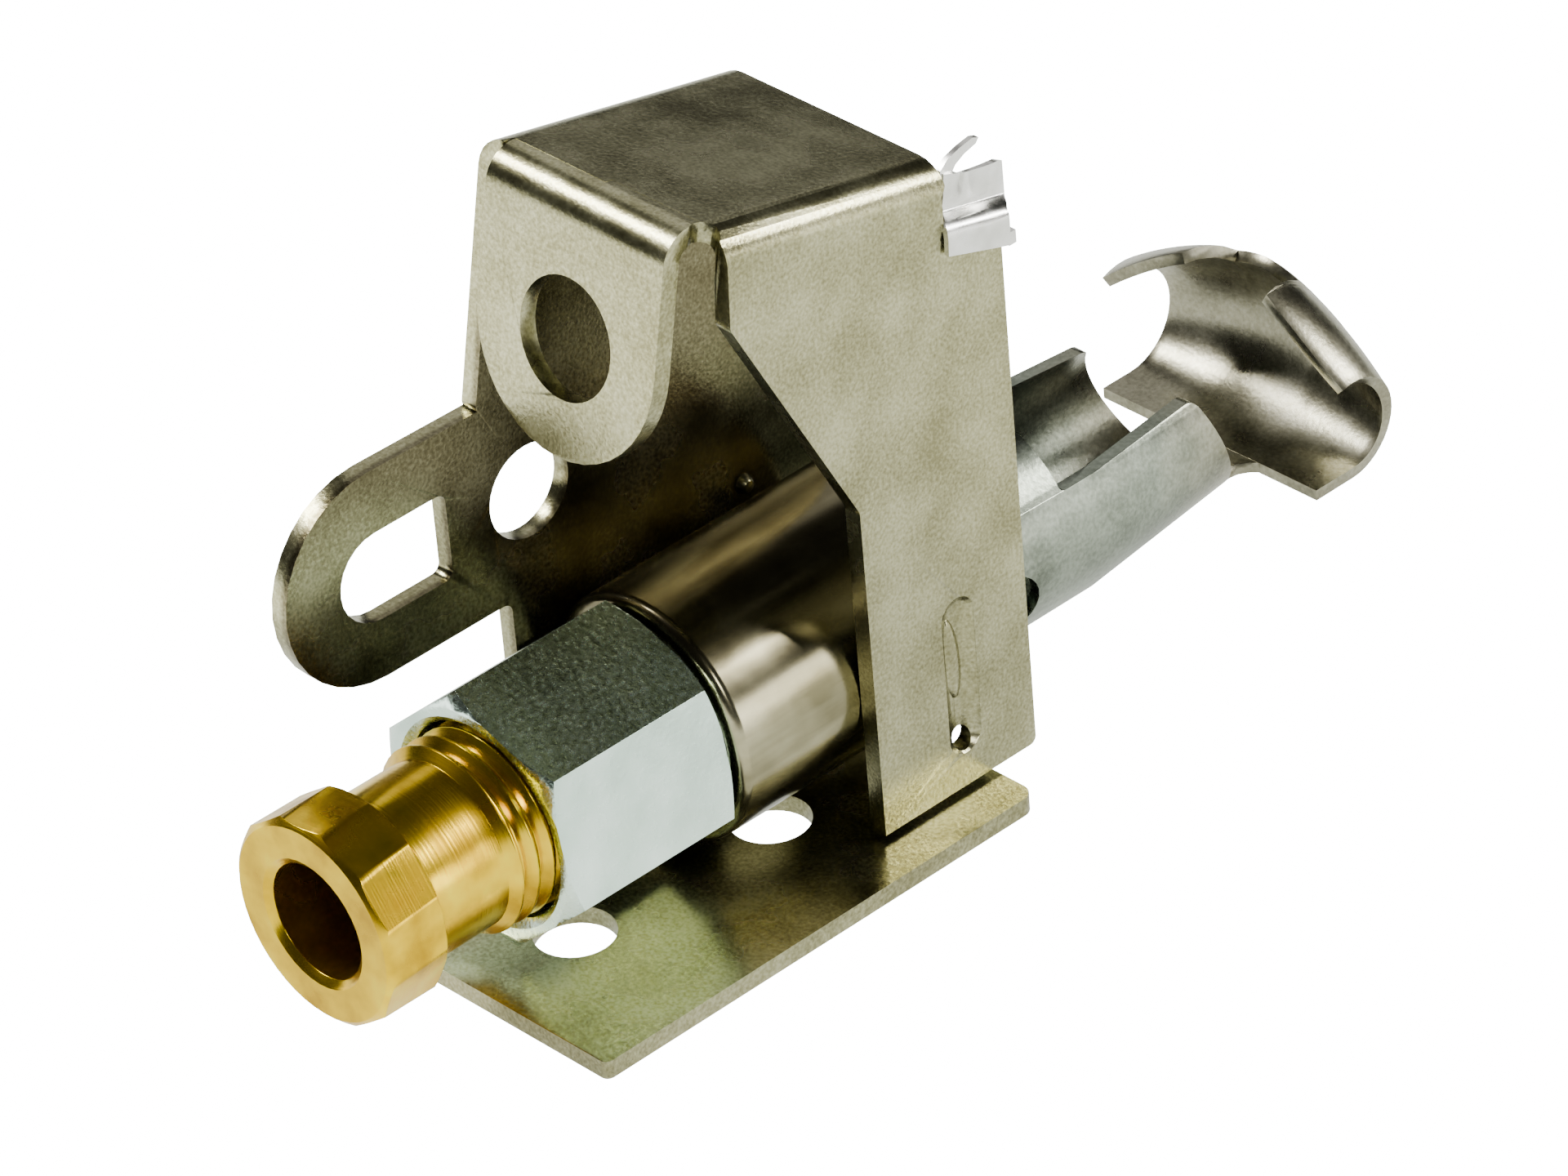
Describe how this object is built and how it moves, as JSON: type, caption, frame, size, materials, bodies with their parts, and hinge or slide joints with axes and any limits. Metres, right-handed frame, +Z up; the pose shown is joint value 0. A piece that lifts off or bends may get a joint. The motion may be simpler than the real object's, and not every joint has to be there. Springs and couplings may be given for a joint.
{
  "type": "gas pilot burner",
  "caption": "Gas pilot burner: brass pipe nut in a hexagon body, rolled flame tube with a spreader hood, held by a sleeve in a folded steel bracket with thermocouple lug and electrode tab.",
  "frame": {"origin": "on the underside of the base flange, straight below the burner axis, level in Y with the sleeve's front lip", "axes": "+Y along the burner axis from the pipe nut to the flame hood, +Z up from the base flange, +X towards the side panel"},
  "size_m": [0.018, 0.0665, 0.0389],
  "materials": {
    "stainless_sheet": "dull rolled stainless sheet, fine speckled grain",
    "drawn_stainless": "drawn stainless, smooth, slightly brown",
    "zinc_body": "turned steel, bright bluish zinc plate",
    "brass": "bright turned brass",
    "olive_brass": "turned brass",
    "jet_brass": "turned brass",
    "zinc_sheet": "rolled steel sheet, pale zinc plate",
    "spring_steel": "thin bright spring strip"
  },
  "bodies": {
    "burner": {"bracket": "stainless_sheet", "sleeve": "drawn_stainless", "burner_body": "zinc_body", "pilot_jet": "jet_brass", "flame_tube": "zinc_sheet", "thermocouple_clip": "spring_steel"},
    "olive": {"olive": "olive_brass"},
    "nut": {"pipe_nut": "brass"}
  },
  "joints": [
    {"name": "nut_travel", "type": "slide", "parent": "burner", "child": "olive", "axis": [0, -1, 0], "range_m": [-0.00102, 0.00504]},
    {"name": "nut_turn", "type": "hinge", "parent": "olive", "child": "nut", "pos_m": [0, -0.012, 0.0088], "axis": [0, -1, 0], "range_deg": [-360, 1800]}
  ],
  "couplings": [
    {"joint": "nut_travel", "follows": "nut_turn", "m_per_rad": 0.00015915}
  ]
}
